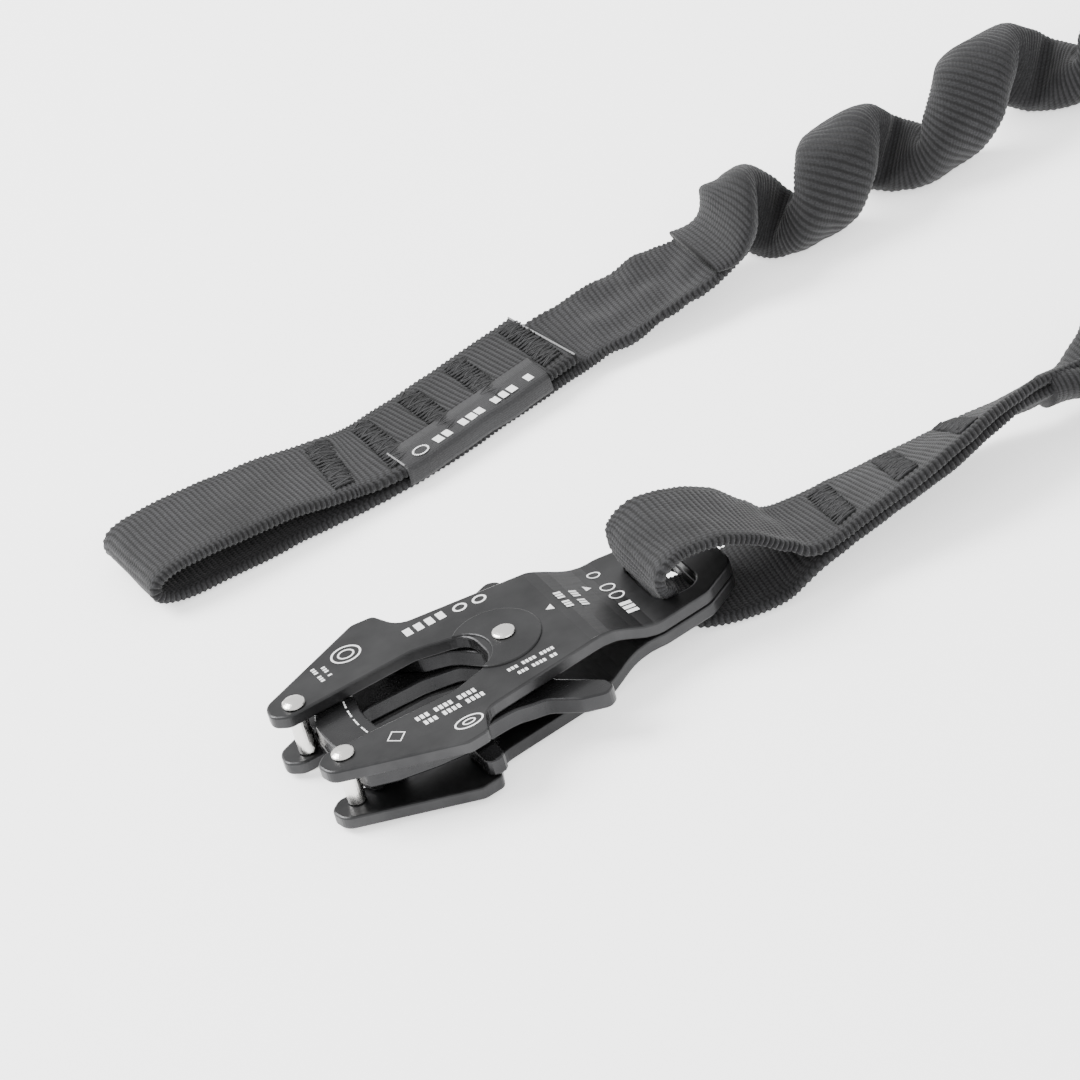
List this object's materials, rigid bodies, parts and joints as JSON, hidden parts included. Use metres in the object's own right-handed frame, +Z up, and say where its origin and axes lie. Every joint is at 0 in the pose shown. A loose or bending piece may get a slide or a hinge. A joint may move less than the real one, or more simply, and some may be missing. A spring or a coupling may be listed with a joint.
{
  "type": "connector lanyard",
  "caption": "Directional automatic connector: riveted plates, crossing sprung gates with finger levers, on a scrunched elastic webbing lanyard that ends in a sewn hand loop.",
  "frame": {"origin": "on the floor under the gates' pivot rivet, at the middle of the connector's footprint", "axes": "+X from the connector's mouth back towards its webbing, +Y towards the hand loop, +Z up from the lower plate to the upper one"},
  "size_m": [0.3217, 0.1459, 0.0242],
  "materials": {
    "plate": "black hard-anodised, satin",
    "gate": "black hard-anodised, satin",
    "steel": "bright, domed heads",
    "spring": "drawn wire",
    "webbing": "ribbed tubular weave",
    "thread": "dense bar-tack stitching",
    "core": "covered elastic cord",
    "label": "woven tape"
  },
  "bodies": {
    "frame": {"upper_plate": "plate", "lower_plate": "plate", "front_rivet_near": "steel", "front_rivet_far": "steel", "front_spacer_near": "steel", "front_spacer_far": "steel", "pivot_rivet": "steel", "pivot_bush": "steel", "eye_loop": "webbing", "hook_strap_lower": "webbing", "hook_strap_upper": "webbing", "hook_strap_tack_1": "thread", "hook_strap_tack_2": "thread", "hook_strap_tack_3": "thread", "bungee_sleeve": "webbing", "elastic_core": "core", "hand_loop": "webbing", "hand_loop_tack_1": "thread", "hand_loop_tack_2": "thread", "hand_loop_tack_3": "thread", "hand_loop_tack_4": "thread", "hand_loop_tack_5": "thread", "woven_label": "label"},
    "near_gate": {"gate_near": "gate", "gate_spring_near": "spring"},
    "far_gate": {"gate_far": "gate", "gate_spring_far": "spring"}
  },
  "joints": [
    {"name": "near_gate_pivot", "type": "hinge", "parent": "frame", "child": "near_gate", "pos_m": [0, 0, 0.0088], "axis": [0, 0, 1], "range_deg": [0, 31], "stiffness_Nm_per_rad": 0.06, "springref_deg": -28.65},
    {"name": "far_gate_pivot", "type": "hinge", "parent": "frame", "child": "far_gate", "pos_m": [0, 0, 0.0088], "axis": [0, 0, -1], "range_deg": [0, 31], "stiffness_Nm_per_rad": 0.06, "springref_deg": -28.65}
  ]
}
